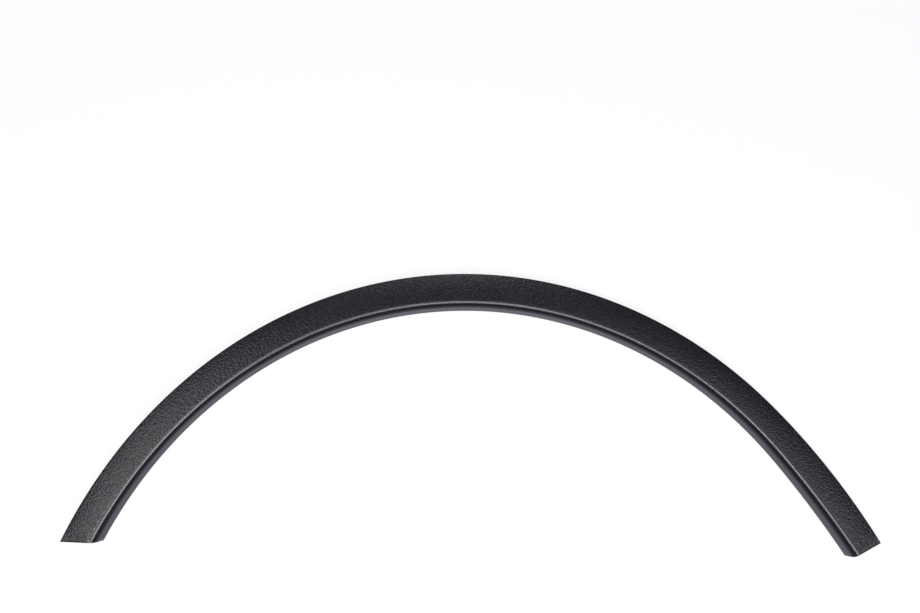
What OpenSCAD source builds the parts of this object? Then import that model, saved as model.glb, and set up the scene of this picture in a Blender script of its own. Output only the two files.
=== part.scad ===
// Wheel arch trim: one moulded arch with an L-shaped section.
// A wide face lies level on top. A return flange turns down along the inner edge.
// X runs along the span, Y points from the open side to the crown of the arch, Z points up.
// The trim rests on the bottom edge of the flange. All lengths are in millimetres.

/* [Arch seen from above] */
// Radius of the flange's inner face, about the wheel centre
flange_r = 355.6; // [330:0.5:380]
// Width of the trim at the middle of the arch, from the flange's inner face to the rim
face_w = 34.1; // [26:0.1:40]
// Radius of the flatter arc that the flange follows near its right end
flange_end_r = 800; // [600:10:1200]
// Radius of the flatter arc that the rim follows near its right end
rim_end_r = 550; // [500:10:700]
// How far the rim's centre sits beyond the wheel centre, towards the crown
rim_shift_y = 8.2; // [6:0.5:10]
// How far the rim's centre sits to the right of the wheel centre
rim_shift_x = -0.7; // [-3:0.1:1]

/* [Ends] */
// Angle about the wheel centre at which the flange's flatter arc begins
flange_end_from = 36; // [33:0.5:39]
// Angle about the rim's centre at which the rim's flatter arc begins
rim_end_from = 41; // [38:1:44]
// Angle of the right tip, about the centre of the rim's flatter arc
right_tip_angle = 25.5; // [24:0.1:26.5]
// Angle of the left tip, about the centre of the rim's main arc
left_tip_angle = 160.5; // [158:0.1:162]
// Direction in which the right end is cut, above the X axis
right_cut = 25.5; // [18:0.5:30]
// Direction in which the left end is cut, above the X axis
left_cut = -2.5; // [-8:0.5:4]
// How far the right end of the flange leans back, in degrees
right_lean = 8; // [0:0.5:16]
// How far the left end of the flange leans back, in degrees
left_lean = 11.5; // [0:0.5:16]

/* [Section] */
// Height of the trim, from the flange's bottom edge to the top of the face
height = 18; // [15:0.5:24]
// Thickness of the sheet
sheet_t = 3; // [2.5:0.1:3.5]
// Outer radius of the bend between flange and face
bend_r = 7; // [5:0.5:8]
// How far the face falls from the bend to the rim
face_fall = 2; // [1:0.1:2.5]
// Width of the strip along the rim in which the face falls
fall_w = 24; // [20:1:26]
// Radius along the top of the rim
rim_round = 2; // [1:0.1:2.3]
// How far the face slopes down to the edge of both ends
end_drop = 0.4; // [0.2:0.1:1]
// Radius along the top edge of both ends
end_round = 1.2; // [0.8:0.1:1.8]

/* [Colour] */
// Colour of the moulded plastic
plastic = [0.1, 0.1, 0.11];

/* [Hidden] */
$fn = 192;
// The crown of the face starts this much above the flat part and meets it at a very small angle
crown_lift = 0.05;
// Radius of the face's shallow crown, from its width and fall
crown_drop = face_fall + crown_lift;
crown_r = (fall_w * fall_w + crown_drop * crown_drop) / (2 * crown_drop);
// Width of the band in which the skins are drawn, well past the trim's own width
band = 2 * face_w;
// Distance by which the space under the sheet runs past the rim and below the flange
spill = 12;
// Angle by which the arcs run past the tips before they are cut
past_tip = 10;
left_limit = left_tip_angle + past_tip;
// Slope of the face down to an end
end_slope = 5;
// The flats of an end meet its rounded edge this much inside their tangent, so they cross it
end_bite = 0.002;
// Height of the face at its rim
rim_top = height - face_fall;
// Height of the centre of an end's rounded edge, at the rim
end_z = rim_top - end_drop - end_round;
// Radius of the rim's main arc, and the centres of both of its arcs about the wheel centre
rim_r = flange_r + face_w - rim_shift_y;
rim_centre = [rim_shift_x, rim_shift_y];
rim_step = rim_end_r - rim_r;
rim_end_centre = rim_centre - rim_step * [cos(rim_end_from), sin(rim_end_from)];
// Centre of the flange's flatter arc
flange_step = flange_end_r - flange_r;
flange_end_centre = -flange_step * [cos(flange_end_from), sin(flange_end_from)];
// Tips of the face, where the rim meets the ends
right_tip = rim_end_centre + rim_end_r * [cos(right_tip_angle), sin(right_tip_angle)];
left_tip = rim_centre + rim_r * [cos(left_tip_angle), sin(left_tip_angle)];
// Where the right tip lies from the centre of the flange's flatter arc
to_tip = right_tip - flange_end_centre;
// How far the flatter arcs turn, which takes them past the right tip
flange_turn = flange_end_from - atan2(to_tip[1], to_tip[0]) + past_tip;
rim_turn = rim_end_from - right_tip_angle + past_tip;
// How far the cutter of an end reaches, past everything that runs on beyond the end
past_ends = 2 * rim_end_r * sin(past_tip);
// Fall of the face along an end, as an angle
end_fall = atan(face_fall / fall_w);
// Width of the right end along its cut, from the rim to the flange's inner face
along_cut = to_tip * [cos(right_cut), sin(right_cut)];
right_width = along_cut - sqrt(along_cut * along_cut - to_tip * to_tip + flange_end_r * flange_end_r);
// Lowest point of the right end, where its cut meets the flange's inner face below the bend
lean_back = (end_z + right_width * tan(end_fall) - (height - bend_r)) * tan(right_lean);
low_y = right_tip[1] - right_width * sin(right_cut) + lean_back * cos(right_cut);
// The middle of the trim's box comes to the origin
mid_x = (left_tip[0] + right_tip[0]) / 2;
mid_y = (rim_centre[1] + rim_r + low_y) / 2;

// Section of the flange side: everything outside a vertical wall with a rounded top corner.
// The wall stands at radius r, its top is at h, and the corner has radius c.
module flange_section(r, h, c, bottom) {
    translate([r + c, bottom]) square([band, h - bottom]);
    translate([r, bottom]) square([c, h - c - bottom]);
    translate([r + c, h - c]) circle(r = c);
}

// Turns one section along a main arc and another along the flatter arc at its right end.
// Both start on the line through the two centres, so the arcs run into each other smoothly.
// from is the angle where they meet, step the distance between the centres.
module sweep(from, step, turn) {
    rotate([0, 0, from]) {
        rotate_extrude(angle = left_limit - from) children(0);
        translate([-step, 0, 0]) mirror([0, 1, 0]) rotate_extrude(angle = turn) children(1);
    }
}

// Sweeps the flange side around the arch. Its wall stands the given distance outside the inner face.
module flange_sweep(off, h, c, bottom) {
    sweep(flange_end_from, flange_step, flange_turn) {
        flange_section(flange_r + off, h, c, bottom);
        flange_section(flange_end_r + off, h, c, bottom);
    }
}

// Top of the face in section, down to the given depth below it. The rim stands at radius r.
// Past the rim the crown keeps falling, for the length given as beyond.
module crown_section(r, depth, bottom, beyond) {
    top = height + crown_lift - depth;
    translate([r - band, bottom]) square([band - fall_w, top - bottom]);
    intersection() {
        translate([r - fall_w, top - crown_r + depth]) circle(r = crown_r - depth);
        translate([r - fall_w, bottom]) square([fall_w + beyond, top - bottom]);
    }
}

// Face side in section: the crown with a rounded rim at radius r
module rim_section(r, bottom) {
    crown_y = height + crown_lift - crown_r;
    reach = crown_r - rim_round;
    run = fall_w - rim_round;
    rise = sqrt(reach * reach - run * run);
    // The rounding touches the crown where the line between their centres comes out
    touch = run * crown_r / reach;
    intersection() {
        crown_section(r, 0, bottom, 0);
        translate([r - band, bottom]) square([band - fall_w + touch, height + band]);
    }
    translate([r - fall_w, bottom]) square([fall_w, crown_y + rise - bottom]);
    translate([r - rim_round, crown_y + rise]) circle(r = rim_round);
}

// Sweeps the face side around the arch, with one section for each of the rim's radii
module rim_sweep() {
    translate([rim_shift_x, rim_shift_y, 0]) sweep(rim_end_from, rim_step, rim_turn) {
        children(0);
        children(1);
    }
}

// The trim's outside as if it were solid: bend, face and rim
module outside() {
    intersection() {
        flange_sweep(0, height, bend_r, 0);
        rim_sweep() {
            rim_section(rim_r, -spill);
            rim_section(rim_end_r, -spill);
        }
    }
}

// The space behind the sheet, open at the bottom and at the rim
module space_behind() {
    intersection() {
        flange_sweep(sheet_t, height - sheet_t, bend_r - sheet_t, -spill);
        rim_sweep() {
            crown_section(rim_r, sheet_t, -2 * spill, spill);
            crown_section(rim_end_r, sheet_t, -2 * spill, spill);
        }
    }
}

// An end in section: the side that is kept, with a rounded top edge whose outermost point is at 0.
// lean is how far the foot of the end is set back, in degrees.
module end_section(lean) {
    centre = [-end_round, end_z];
    reach = end_round - end_bite;
    foot = centre + reach * [cos(lean), -sin(lean)];
    brow = centre + reach * [sin(end_slope), cos(end_slope)];
    depth = foot[1] + 2 * spill;
    polygon([
        [foot[0] - depth * tan(lean), -2 * spill],
        foot,
        brow,
        [-band, brow[1] + (brow[0] + band) * tan(end_slope)],
        [-band, -2 * spill]
    ]);
    translate(centre) circle(r = end_round);
}

// Everything past an end, out to where the skins stop.
// turn is the direction in which the end faces, fall the slope of its top edge towards the rim.
module past_end(tip, turn, lean, fall) {
    inset = band / 2;
    translate([tip[0], tip[1], 0]) rotate([0, 0, turn]) rotate([90 + fall, 0, 0])
        linear_extrude(height = 2 * band, center = true)
            difference() {
                translate([-inset, -spill]) square([inset + past_ends, height + 2 * spill]);
                end_section(lean);
            }
}

// The moulded sheet, before its ends are cut
module sheet() {
    difference() {
        outside();
        space_behind();
    }
}

// The finished trim, with the middle of its box at the origin
module arch_trim() {
    color(plastic)
    translate([-mid_x, -mid_y, 0])
    difference() {
        difference() {
            sheet();
            past_end(right_tip, right_cut - 90, right_lean, -end_fall);
        }
        past_end(left_tip, left_cut - 90, left_lean, end_fall);
    }
}

arch_trim();
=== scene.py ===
"""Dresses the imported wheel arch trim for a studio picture. Every length is in metres."""
import math

import bmesh
import bpy
import numpy as np
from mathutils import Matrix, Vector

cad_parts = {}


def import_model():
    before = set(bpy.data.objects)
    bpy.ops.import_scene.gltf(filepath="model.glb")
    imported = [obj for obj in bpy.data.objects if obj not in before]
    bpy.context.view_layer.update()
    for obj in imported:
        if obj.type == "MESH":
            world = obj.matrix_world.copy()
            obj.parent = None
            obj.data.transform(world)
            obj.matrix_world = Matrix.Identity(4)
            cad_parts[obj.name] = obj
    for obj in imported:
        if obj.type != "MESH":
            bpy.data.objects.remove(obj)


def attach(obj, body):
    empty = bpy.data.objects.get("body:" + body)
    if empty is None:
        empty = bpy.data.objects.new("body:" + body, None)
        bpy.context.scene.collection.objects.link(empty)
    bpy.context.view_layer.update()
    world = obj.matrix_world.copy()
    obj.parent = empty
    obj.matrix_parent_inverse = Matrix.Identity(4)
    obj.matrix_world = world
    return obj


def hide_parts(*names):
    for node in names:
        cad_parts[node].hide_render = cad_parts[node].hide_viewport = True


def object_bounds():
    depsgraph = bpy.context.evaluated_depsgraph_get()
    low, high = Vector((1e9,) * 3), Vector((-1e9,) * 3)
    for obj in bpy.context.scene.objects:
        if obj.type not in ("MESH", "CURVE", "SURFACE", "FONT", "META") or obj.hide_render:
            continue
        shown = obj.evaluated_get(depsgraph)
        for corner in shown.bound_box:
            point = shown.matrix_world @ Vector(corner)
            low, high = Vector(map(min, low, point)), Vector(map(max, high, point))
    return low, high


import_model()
cad_low, cad_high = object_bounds()

# Sizes of the trim, as its solid has them
FLANGE_R = 0.3556
FLANGE_END_R = 0.800
FACE_W = 0.0341
RIM_END_R = 0.550
RIM_SHIFT = np.array([-0.0007, 0.0082])
FLANGE_END_FROM = math.radians(36.0)
RIM_END_FROM = math.radians(41.0)
RIGHT_TIP_ANGLE = math.radians(25.5)
LEFT_TIP_ANGLE = math.radians(160.5)
RIGHT_CUT = math.radians(25.5)
LEFT_CUT = math.radians(-2.5)
RIGHT_LEAN = math.radians(8.0)
LEFT_LEAN = math.radians(11.5)
HEIGHT = 0.018
SHEET_T = 0.003
BEND_R = 0.007
FACE_FALL = 0.002
FALL_W = 0.024
RIM_ROUND = 0.002
END_ROUND = 0.0012
END_DROP = 0.0004
END_SLOPE = math.radians(5.0)
CROWN_LIFT = 0.00005

# Values worked out from them
RIM_R = FLANGE_R + FACE_W - RIM_SHIFT[1]
CROWN_DROP = FACE_FALL + CROWN_LIFT
CROWN_R = (FALL_W ** 2 + CROWN_DROP ** 2) / (2 * CROWN_DROP)
CROWN_Z = HEIGHT + CROWN_LIFT - CROWN_R
BEND_Z = HEIGHT - BEND_R
INNER_BEND_R = BEND_R - SHEET_T
RIM_TOP = HEIGHT - FACE_FALL
END_Z = RIM_TOP - END_DROP - END_ROUND
END_RISE = FACE_FALL / FALL_W

# How finely the surface is drawn
ARCH_STEPS = 220
END_STEPS = 7
BEVEL_STEPS = 12
FOOT_STEPS = 4
FLANGE_STEPS = 9
BEND_STEPS = 15
FACE_STEPS = 20
RIM_STEPS = 7
# Radius that softens both corners of the flange's bottom edge
FOOT_ROUND = 0.0004
# Near an end the sections follow its cut over the first length, and turn away over the second
PARALLEL = 0.012
TURNING = 0.110
# Lines along an end's cut start this far from its tip, inside the opening of the arch
BEFORE_FLANGE = 3 * FALL_W
# Over this length from an end the foot of the flange is set back
LEANING = 0.030
# The surface begins to roughen this far up the bend, as a share of it
SMOOTH_BEND = 0.30
# It is matt when this share of the way is done, and its grain begins only there
MATT = 0.68
# The grain fades out over this length before an end
FADING = 0.006
# Vertices closer than this are one, and edges sharper than this angle are drawn sharp
WELD = 0.000002
SHARP_ANGLE = math.radians(38)


def unit(angle):
    """The direction at an angle above the X axis: (cos a, sin a)."""
    return np.stack([np.cos(angle), np.sin(angle)], -1)


# Centres of the arcs and tips of the face, about the wheel centre
flange_centre = np.zeros(2)
flange_end_centre = -(FLANGE_END_R - FLANGE_R) * unit(FLANGE_END_FROM)
rim_centre = RIM_SHIFT
rim_end_centre = rim_centre - (RIM_END_R - RIM_R) * unit(RIM_END_FROM)
right_tip = rim_end_centre + RIM_END_R * unit(RIGHT_TIP_ANGLE)
left_tip = rim_centre + RIM_R * unit(LEFT_TIP_ANGLE)
# The middle of the trim's box lies at the origin
box_middle = np.array([(left_tip[0] + right_tip[0]) / 2, rim_centre[1] + RIM_R - cad_high.y])
# Each end has its tip, the direction of its cut from flange to rim, and the way that it faces
ENDS = [
    (right_tip, unit(RIGHT_CUT), unit(RIGHT_CUT - math.pi / 2), RIGHT_LEAN),
    (left_tip, -unit(LEFT_CUT), unit(LEFT_CUT - math.pi / 2), LEFT_LEAN),
]


def smooth_step(x):
    """0 below 0, 1 above 1, and 3x^2 - 2x^3 between them."""
    x = np.clip(x, 0.0, 1.0)
    return x * x * (3 - 2 * x)


def cross_circle(start, way, centre, radius):
    """How far along the line start + s way it leaves the circle of that centre and radius."""
    rel = start - centre
    b = (rel * way).sum(-1)
    c = (rel * rel).sum(-1) - radius ** 2
    return -b + np.sqrt(np.maximum(b * b - c, 0.0))


def cross_arcs(start, way, main, end, end_from):
    """How far along a line it meets a curve of two arcs that touch.

    Each arc is a centre with a radius. The flatter one follows below the angle end_from."""
    on_main = cross_circle(start, way, *main)
    on_end = cross_circle(start, way, *end)
    at = start + on_main[..., None] * way - main[0]
    past = np.arctan2(at[..., 1], at[..., 0]) < end_from
    return np.where(past, on_end, on_main)


def cross_flange(start, way, off):
    """How far along a line it meets the curve that lies off outside the flange's inner face."""
    main = flange_centre, FLANGE_R + off
    end = flange_end_centre, FLANGE_END_R + off
    return cross_arcs(start, way, main, end, FLANGE_END_FROM)


def cross_rim(start, way, inside):
    """How far along a line it meets the curve that lies a given distance inside the rim."""
    main = rim_centre, RIM_R - inside
    end = rim_end_centre, RIM_END_R - inside
    return cross_arcs(start, way, main, end, RIM_END_FROM)


def inside_rim(at):
    """How far a point lies inside the rim."""
    rel = at - rim_centre
    main = RIM_R - np.linalg.norm(rel, axis=-1)
    end = RIM_END_R - np.linalg.norm(at - rim_end_centre, axis=-1)
    return np.where(np.arctan2(rel[..., 1], rel[..., 0]) < RIM_END_FROM, end, main)


def crown(inside, depth):
    """Height of the face, or of the sheet at a depth below it, at a distance inside the rim.

    It is level, and near the rim it falls along an arc about a centre far below."""
    run = np.clip(FALL_W - inside, 0.0, None)
    arc = CROWN_Z + np.sqrt((CROWN_R - depth) ** 2 - run ** 2)
    return np.minimum(HEIGHT - depth, arc)


def flange_point(along):
    """Point on the flange's inner face at a distance along it, with the angle it faces outwards.

    Distances grow leftwards up the main arc from where it begins, and are negative on the flatter one."""
    on_main = along[..., None] >= 0
    angle = FLANGE_END_FROM + along / np.where(along >= 0, FLANGE_R, FLANGE_END_R)
    main = flange_centre + FLANGE_R * unit(angle)
    end = flange_end_centre + FLANGE_END_R * unit(angle)
    return np.where(on_main, main, end), angle


def along_flange(point):
    """The distance along the flange of a point on its inner face."""
    main = point - flange_centre
    end = point - flange_end_centre
    on_main = np.arctan2(main[..., 1], main[..., 0]) - FLANGE_END_FROM
    on_end = np.arctan2(end[..., 1], end[..., 0]) - FLANGE_END_FROM
    return np.where(on_main < 0, on_end * FLANGE_END_R, on_main * FLANGE_R)


def end_stations(tip, cut, facing):
    """Distances along the flange where lines parallel to an end meet it.

    The lines are set in by END_ROUND (1 - cos a), so they divide the rounded edge evenly. Even
    steps across the bevel follow, as far as the sections stay parallel."""
    turn = np.linspace(0.0, math.pi / 2, END_STEPS)
    bevel = np.linspace(END_ROUND, PARALLEL, BEVEL_STEPS)[1:]
    depth = np.append(END_ROUND * (1 - np.cos(turn)), bevel)
    start = tip - depth[:, None] * facing - BEFORE_FLANGE * cut
    way = np.broadcast_to(cut, start.shape)
    return along_flange(start + cross_flange(start, way, 0.0)[:, None] * way)


def stations():
    """Distances along the flange of all sections, from the right end to the left end."""
    right, left = [end_stations(tip, cut, facing) for tip, cut, facing, _ in ENDS]
    middle = np.linspace(right[-1], left[-1], ARCH_STEPS)[1:-1]
    return np.concatenate([right, middle, left[::-1]])


def section_lines(along):
    """Where each section starts on the flange, its direction across the sheet, and the end's effect.

    Away from the ends a section is square to the flange. Near one it turns to follow the cut.
    Also given: the height from which an end leans back, how far for each unit of height below it,
    towards the middle of the arch, and how much of the grain shows."""
    point, angle = flange_point(along)
    way_angle = angle.copy()
    lean_from = np.zeros(len(along))
    set_back = np.zeros((len(along), 2))
    showing = np.ones(len(along))
    tangent = unit(angle + math.pi / 2)
    for (tip, cut, _, lean), side in zip(ENDS, (0, -1)):
        far = np.abs(along - along[side])
        share = 1 - smooth_step((far - PARALLEL) / TURNING)
        cut_angle = math.atan2(cut[1], cut[0]) % (2 * math.pi)
        way_angle = way_angle + share * (cut_angle - way_angle)
        inwards = tangent if side == 0 else -tangent
        hold = (1 - smooth_step(far / LEANING)) * math.tan(lean)
        set_back = set_back + hold[:, None] * inwards
        lean_from = np.where(far < LEANING, END_Z + (tip - point) @ cut * END_RISE, lean_from)
        showing = showing * smooth_step(far / FADING)
    return point, unit(way_angle), lean_from, set_back, showing


def end_top(at):
    """Height up to which the ends leave the sheet standing, at points seen from above.

    Over each end's edge it rises as a quarter circle and then as a slope that touches it. From the
    tip along the cut it rises too, by the face's fall over its width."""
    lowest = np.full(at.shape[:-1], np.inf)
    for tip, cut, facing, _ in ENDS:
        rel = at - tip
        depth = -(rel @ facing)
        along_cut = -(rel @ cut)
        arc = np.sqrt(END_ROUND ** 2 - np.clip(END_ROUND - depth, 0.0, END_ROUND) ** 2)
        brow = END_ROUND * (1 - math.sin(END_SLOPE))
        slope = END_ROUND * math.cos(END_SLOPE) + (depth - brow) * math.tan(END_SLOPE)
        rise = along_cut * END_RISE
        lowest = np.minimum(lowest, END_Z + rise + np.where(depth < brow, arc, slope))
    return lowest


def place(lines, off, height):
    """Points at a distance outside the flange's inner face and at a height, on each section."""
    point, way, lean_from, set_back = lines
    below = np.clip(lean_from[:, None] - height, 0.0, None)
    start = point[:, None] + below[..., None] * set_back[:, None]
    ways = np.broadcast_to(way[:, None], start.shape)
    flat = start + cross_flange(start, ways, off)[..., None] * ways
    return np.concatenate([flat, height[..., None]], -1)


def flange_and_bend(lines, back):
    """The flange and its bend, on the front or the back of the sheet, from the foot upwards.

    The bend is a quarter circle about a centre BEND_R from both outer faces."""
    corner = np.linspace(0.0, math.pi / 2, FOOT_STEPS)[:-1]
    turn = np.linspace(0.0, math.pi / 2, BEND_STEPS)
    radius = INNER_BEND_R if back else BEND_R
    rise = np.linspace(FOOT_ROUND, BEND_Z, FLANGE_STEPS)[:-1]
    foot_off = FOOT_ROUND * (1 - np.sin(corner))
    skin_off = SHEET_T - foot_off if back else foot_off
    level = np.full(FLANGE_STEPS - 1, SHEET_T if back else 0.0)
    off = np.concatenate([skin_off, level, BEND_R - radius * np.cos(turn)])
    height = np.concatenate([FOOT_ROUND * (1 - np.cos(corner)), rise, BEND_Z + radius * np.sin(turn)])
    height = np.tile(height, (len(lines[0]), 1))
    spots = place(lines, off, height)
    if not back:
        spots[..., 2] = np.minimum(height, end_top(spots[..., :2]))
    return spots


def face_and_rim(lines):
    """The face and its rim, on the front and on the back, both from the bend outwards.

    Across the face the steps are even. The rim is an arc that touches the crown."""
    point, way, *_ = lines
    reach = CROWN_R - RIM_ROUND
    run = FALL_W - RIM_ROUND
    rim_z = CROWN_Z + math.sqrt(reach ** 2 - run ** 2)
    turn = np.linspace(math.acos(run / reach), 0.0, RIM_STEPS)
    inside = RIM_ROUND * (1 - np.cos(turn))
    near = cross_flange(point, way, BEND_R)[:, None]
    far = cross_rim(point, way, inside[0])[:, None]
    across = near + (far - near) * np.linspace(0.0, 1.0, FACE_STEPS)[1:-1]
    starts = np.repeat(point[:, None], RIM_STEPS, 1)
    ways = np.repeat(way[:, None], RIM_STEPS, 1)
    across = np.concatenate([across, cross_rim(starts, ways, inside)], 1)
    flat = point[:, None] + across[..., None] * way[:, None]
    gap = inside_rim(flat)
    top = crown(gap, 0.0)
    under = crown(gap, SHEET_T)
    top[:, -RIM_STEPS:] = np.minimum(top[:, -RIM_STEPS:], rim_z + RIM_ROUND * np.sin(turn))
    front = np.maximum(np.minimum(top, end_top(flat)), under)
    return [np.concatenate([flat, z[..., None]], -1) for z in (front, under)]


def trim_surface():
    """The whole trim as one closed surface: rings round the sheet, joined along the arch.

    A ring runs up the front of the flange, over the face and the rim, and back along the underside.
    Each end is closed by a strip between the front and the back. Gives the vertices, the faces and
    how far each vertex is on the way from smooth over matt to grained."""
    *lines, showing = section_lines(stations())
    face_front, face_back = face_and_rim(lines)
    front = np.concatenate([flange_and_bend(lines, False), face_front], 1)
    back = np.concatenate([flange_and_bend(lines, True), face_back], 1)
    ring = np.concatenate([front, back[:, ::-1]], 1)
    count, size = ring.shape[:2]
    across = front.shape[1]
    index = np.arange(count * size).reshape(count, size)
    turned = np.roll(index, -1, 1)
    sides = np.stack([index[:-1], turned[:-1], turned[1:], index[1:]], -1).reshape(-1, 4)
    caps = []
    for row in index[0], index[-1]:
        out, ret = row[:across], row[across:][::-1]
        caps.append(np.stack([out[:-1], ret[:-1], ret[1:], out[1:]], -1))
    flange_count = FOOT_STEPS + FLANGE_STEPS - 2
    up_bend = np.linspace(0.0, 1.0, BEND_STEPS)
    bend = np.clip((up_bend - SMOOTH_BEND) / (1 - SMOOTH_BEND), 0.0, 1.0)
    face = np.ones(across - flange_count - BEND_STEPS)
    grain = np.concatenate([np.zeros(flange_count), bend, face, np.zeros(across)])
    grain = np.minimum(grain, MATT + (1 - MATT) * showing[:, None])
    spots = ring.reshape(-1, 3) - np.append(box_middle, 0.0)
    # The solid's own mesh cuts the corners of its arcs, so the last hundredths stay inside its box
    spots = np.clip(spots, cad_low, cad_high)
    return spots, np.concatenate([sides, caps[0], caps[1][:, ::-1]]), grain.ravel()


def make_trim():
    """Puts the trim's surface into a mesh, welds its thin edges and marks the sharp ones."""
    spots, faces, grain = trim_surface()
    mesh = bpy.data.meshes.new("arch_trim_moulding")
    mesh.from_pydata(spots.tolist(), [], faces.tolist())
    layer = mesh.attributes.new("grain", "FLOAT", "POINT")
    layer.data.foreach_set("value", grain.astype(np.float32))
    work = bmesh.new()
    work.from_mesh(mesh)
    bmesh.ops.remove_doubles(work, verts=work.verts, dist=WELD)
    bmesh.ops.recalc_face_normals(work, faces=work.faces)
    work.to_mesh(mesh)
    work.free()
    mesh.polygons.foreach_set("use_smooth", np.ones(len(mesh.polygons), bool))
    mesh.set_sharp_from_angle(angle=SHARP_ANGLE)
    piece = bpy.data.objects.new("arch_trim_moulding", mesh)
    bpy.context.scene.collection.objects.link(piece)
    return piece


def link(tree, source, target):
    """Joins two sockets of a node tree."""
    tree.links.new(source, target)


def value_node(tree, operation, first, second):
    """A Math node on two inputs, each a socket or a number. Returns its output."""
    node = tree.nodes.new("ShaderNodeMath")
    node.operation = operation
    for socket, given in zip(node.inputs, (first, second)):
        if isinstance(given, (int, float)):
            socket.default_value = given
        else:
            link(tree, given, socket)
    return node.outputs[0]


def mixed_colour(tree, first, second, share):
    """A Mix node from one colour to another by a share. The second is a colour or a socket."""
    node = tree.nodes.new("ShaderNodeMix")
    node.data_type = "RGBA"
    node.inputs["A"].default_value = first
    if isinstance(second, tuple):
        node.inputs["B"].default_value = second
    else:
        link(tree, second, node.inputs["B"])
    link(tree, share, node.inputs["Factor"])
    return node.outputs["Result"]


PLASTIC_COLOUR = (0.0065, 0.0058, 0.0105, 1.0)
PLASTIC_IOR = 1.5
# Width of the pebbles of the grain, and how softly they run into each other
PEBBLE = 0.0018
PEBBLE_SOFTNESS = 0.6
# Width of the finer sand between them, how finely it is broken, and its share of the relief
SAND = 0.0007
SAND_DETAIL = 2.0
SAND_SHARE = 0.5
# Height of the grain's relief
GRAIN_HEIGHT = 0.00027
# Share of the grain that the smooth parts keep
SMOOTH_GRAIN = 0.08
# Roughness of the smooth flange, and of the face between its grains
SMOOTH_ROUGHNESS = 0.17
GRAINED_ROUGHNESS = 0.29


def grained_plastic():
    """Black moulded plastic with a fine leather grain on the face, which fades out down the bend.

    The relief is high where a pebble's middle is near, with a share of the sand added."""
    material = bpy.data.materials.new("grained_plastic")
    material.use_nodes = True
    tree = material.node_tree
    shader = tree.nodes["Principled BSDF"]
    shader.inputs["Base Color"].default_value = PLASTIC_COLOUR
    shader.inputs["IOR"].default_value = PLASTIC_IOR
    place_node = tree.nodes.new("ShaderNodeTexCoord")
    strength = tree.nodes.new("ShaderNodeAttribute")
    strength.attribute_name = "grain"
    cells = tree.nodes.new("ShaderNodeTexVoronoi")
    cells.feature = "SMOOTH_F1"
    cells.inputs["Scale"].default_value = 1 / PEBBLE
    cells.inputs["Smoothness"].default_value = PEBBLE_SOFTNESS
    sand = tree.nodes.new("ShaderNodeTexNoise")
    sand.inputs["Scale"].default_value = 1 / SAND
    sand.inputs["Detail"].default_value = SAND_DETAIL
    for node in cells, sand:
        link(tree, place_node.outputs["Object"], node.inputs["Vector"])
    sandy = value_node(tree, "MULTIPLY", sand.outputs["Fac"], SAND_SHARE)
    height = value_node(tree, "SUBTRACT", sandy, cells.outputs["Distance"])
    grain = tree.nodes.new("ShaderNodeMapRange")
    grain.inputs["From Min"].default_value = MATT
    grain.inputs["To Min"].default_value = SMOOTH_GRAIN
    link(tree, strength.outputs["Fac"], grain.inputs["Value"])
    bump = tree.nodes.new("ShaderNodeBump")
    bump.inputs["Distance"].default_value = GRAIN_HEIGHT
    link(tree, value_node(tree, "MULTIPLY", height, grain.outputs["Result"]), bump.inputs["Height"])
    link(tree, bump.outputs["Normal"], shader.inputs["Normal"])
    rough = tree.nodes.new("ShaderNodeMapRange")
    rough.inputs["From Max"].default_value = MATT
    rough.inputs["To Min"].default_value = SMOOTH_ROUGHNESS
    rough.inputs["To Max"].default_value = GRAINED_ROUGHNESS
    link(tree, strength.outputs["Fac"], rough.inputs["Value"])
    link(tree, rough.outputs["Result"], shader.inputs["Roughness"])
    return material


WHITE = (1.0, 1.0, 1.0, 1.0)
# Side of the floor, its colour where lamps light it, and the share of white that it shows by itself
FLOOR_SIZE = 8.0
FLOOR_COLOUR = (0.86, 0.86, 0.88, 1.0)
FLOOR_GLOW = 0.85
# Painted reflection: the floor's white as the trim's gloss shows it, dimmer and a little bluer near the
# trim, and painted dark in the middle of the opening
PAINTED_NEAR_REFLECTION = (0.62, 0.63, 0.74, 1.0)
PAINTED_DARK_REFLECTION = (0.12, 0.12, 0.15, 1.0)
# Where the painted dark middle lies, about the wheel centre, and the radii between which it brightens
MIDDLE = np.array([-0.018, 0.0])
MIDDLE_R = 0.290
BRIGHT_R = 0.335


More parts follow.
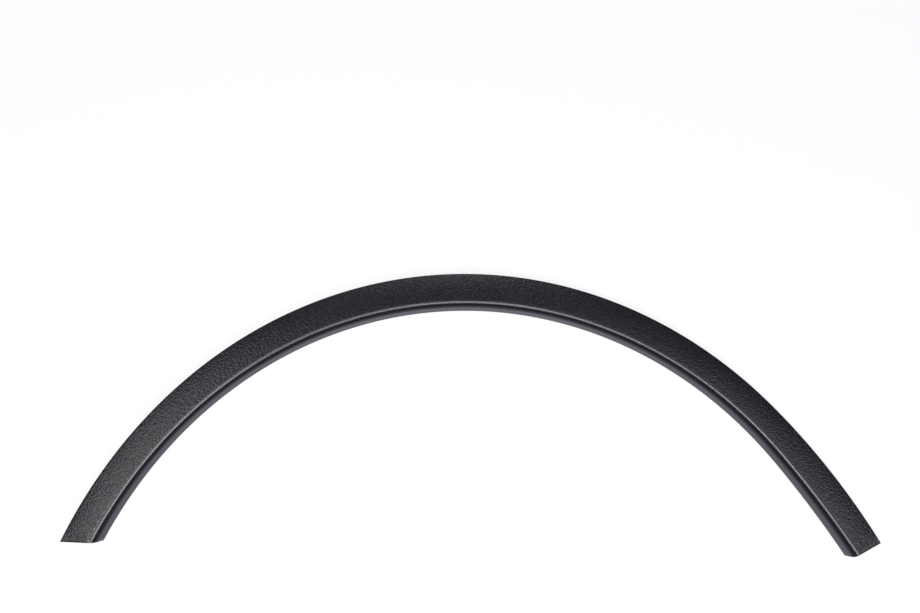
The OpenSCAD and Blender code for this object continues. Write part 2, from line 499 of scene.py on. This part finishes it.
def floor():
    """A wide white floor that the trim lies on. It looks white to the camera and keeps a soft shadow. In
    the trim's gloss it shows a painted reflection, dim and bluish near the trim and painted dark in the
    middle of the opening.
    """
    bpy.ops.mesh.primitive_plane_add(size=FLOOR_SIZE, location=(0, 0, cad_low.z))
    plane = bpy.context.object
    plane.name = "studio_floor"
    material = bpy.data.materials.new("studio_floor")
    material.use_nodes = True
    tree = material.node_tree
    tree.nodes.remove(tree.nodes["Principled BSDF"])
    output = tree.nodes["Material Output"]
    matt = tree.nodes.new("ShaderNodeBsdfDiffuse")
    matt.inputs["Color"].default_value = FLOOR_COLOUR
    rays = tree.nodes.new("ShaderNodeLightPath")
    place_node = tree.nodes.new("ShaderNodeTexCoord")
    away = tree.nodes.new("ShaderNodeVectorMath")
    away.operation = "DISTANCE"
    away.inputs[1].default_value = (*(MIDDLE - box_middle), 0.0)
    link(tree, place_node.outputs["Object"], away.inputs[0])
    near = tree.nodes.new("ShaderNodeMapRange")
    near.inputs["From Min"].default_value = MIDDLE_R
    near.inputs["From Max"].default_value = BRIGHT_R
    link(tree, away.outputs["Value"], near.inputs["Value"])
    # Painted reflection: glossy rays see the floor dim and bluish near the trim, and painted dark in the
    # middle of the opening, which draws the dark line on the bend
    painted_reflection = mixed_colour(tree, PAINTED_DARK_REFLECTION, PAINTED_NEAR_REFLECTION, near.outputs["Result"])
    white = mixed_colour(tree, WHITE, painted_reflection, rays.outputs["Is Glossy Ray"])
    glow = tree.nodes.new("ShaderNodeEmission")
    link(tree, white, glow.inputs["Color"])
    seen = value_node(tree, "MAXIMUM", rays.outputs["Is Camera Ray"], rays.outputs["Is Glossy Ray"])
    seen = value_node(tree, "MAXIMUM", seen, rays.outputs["Is Transmission Ray"])
    mix = tree.nodes.new("ShaderNodeMixShader")
    link(tree, value_node(tree, "MULTIPLY", seen, FLOOR_GLOW), mix.inputs["Fac"])
    link(tree, matt.outputs[0], mix.inputs[1])
    link(tree, glow.outputs[0], mix.inputs[2])
    link(tree, mix.outputs[0], output.inputs["Surface"])
    plane.data.materials.append(material)


# Strength of the studio as it lights the trim and shows in its gloss. Seen directly, it is white.
STUDIO_GLOW = 0.08


def world():
    """A studio that is white where it is seen, also through glass, and dim round the trim."""
    scene_world = bpy.data.worlds.new("studio")
    scene_world.use_nodes = True
    tree = scene_world.node_tree
    back = tree.nodes["Background"]
    rays = tree.nodes.new("ShaderNodeLightPath")
    seen = value_node(tree, "MAXIMUM", rays.outputs["Is Camera Ray"], rays.outputs["Is Transmission Ray"])
    strength = value_node(tree, "MAXIMUM", seen, STUDIO_GLOW)
    link(tree, strength, back.inputs["Strength"])
    back.inputs["Color"].default_value = WHITE
    bpy.context.scene.world = scene_world


LIGHT_DISTANCE = 1.8
# Each soft light: height above the horizon and compass angle from +X in degrees,
# size along its height and across it in metres, and power in watts
LIGHTS = {
    "front_right_soft_light": (48, 304, 0.65, 0.60, 15.0),
    "front_soft_light": (52, 268, 0.60, 0.40, 7.5),
    "front_left_soft_light": (63, 236, 0.42, 0.45, 15.0),
    "left_soft_light": (54, 178, 0.60, 1.00, 7.4),
    "right_soft_light": (70, 10, 0.60, 0.50, 2.2),
    "low_right_soft_light": (48, 348, 0.45, 0.50, 2.6),
    "back_soft_light": (42, 92, 0.50, 0.60, 3.1),
}


def soft_lights():
    """Rectangular soft lights round the trim, all turned towards its middle."""
    for name, (height, turn, length, width, power) in LIGHTS.items():
        data = bpy.data.lights.new(name, "AREA")
        data.shape = "RECTANGLE"
        data.size = length
        data.size_y = width
        data.energy = power
        lamp = bpy.data.objects.new(name, data)
        tilt = math.radians(90 - height)
        turn = math.radians(turn)
        lamp.location = (
            LIGHT_DISTANCE * math.sin(tilt) * math.cos(turn),
            LIGHT_DISTANCE * math.sin(tilt) * math.sin(turn),
            LIGHT_DISTANCE * math.cos(tilt),
        )
        lamp.rotation_euler = (0, tilt, turn)
        bpy.context.scene.collection.objects.link(lamp)


# The camera's place over the floor, about the wheel centre, its height, and its tilt from straight down
CAMERA_FOOT = np.array([-0.00505, 0.12632])
CAMERA_HEIGHT = 0.7126
CAMERA_TILT = math.radians(18.18)
CAMERA_LENS = 29.35


def camera():
    """The camera stands over the inside of the arch and looks down, tilted towards its crown."""
    data = bpy.data.cameras.new("camera")
    data.lens = CAMERA_LENS
    eye = bpy.data.objects.new("camera", data)
    eye.location = (*(CAMERA_FOOT - box_middle), CAMERA_HEIGHT)
    eye.rotation_euler = (CAMERA_TILT, 0, 0)
    bpy.context.scene.collection.objects.link(eye)
    bpy.context.scene.camera = eye


trim = make_trim()
trim.data.materials.append(grained_plastic())
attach(trim, "root")
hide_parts("arch_trim")

floor()
world()
soft_lights()
camera()

bpy.context.scene.view_settings.view_transform = "Standard"
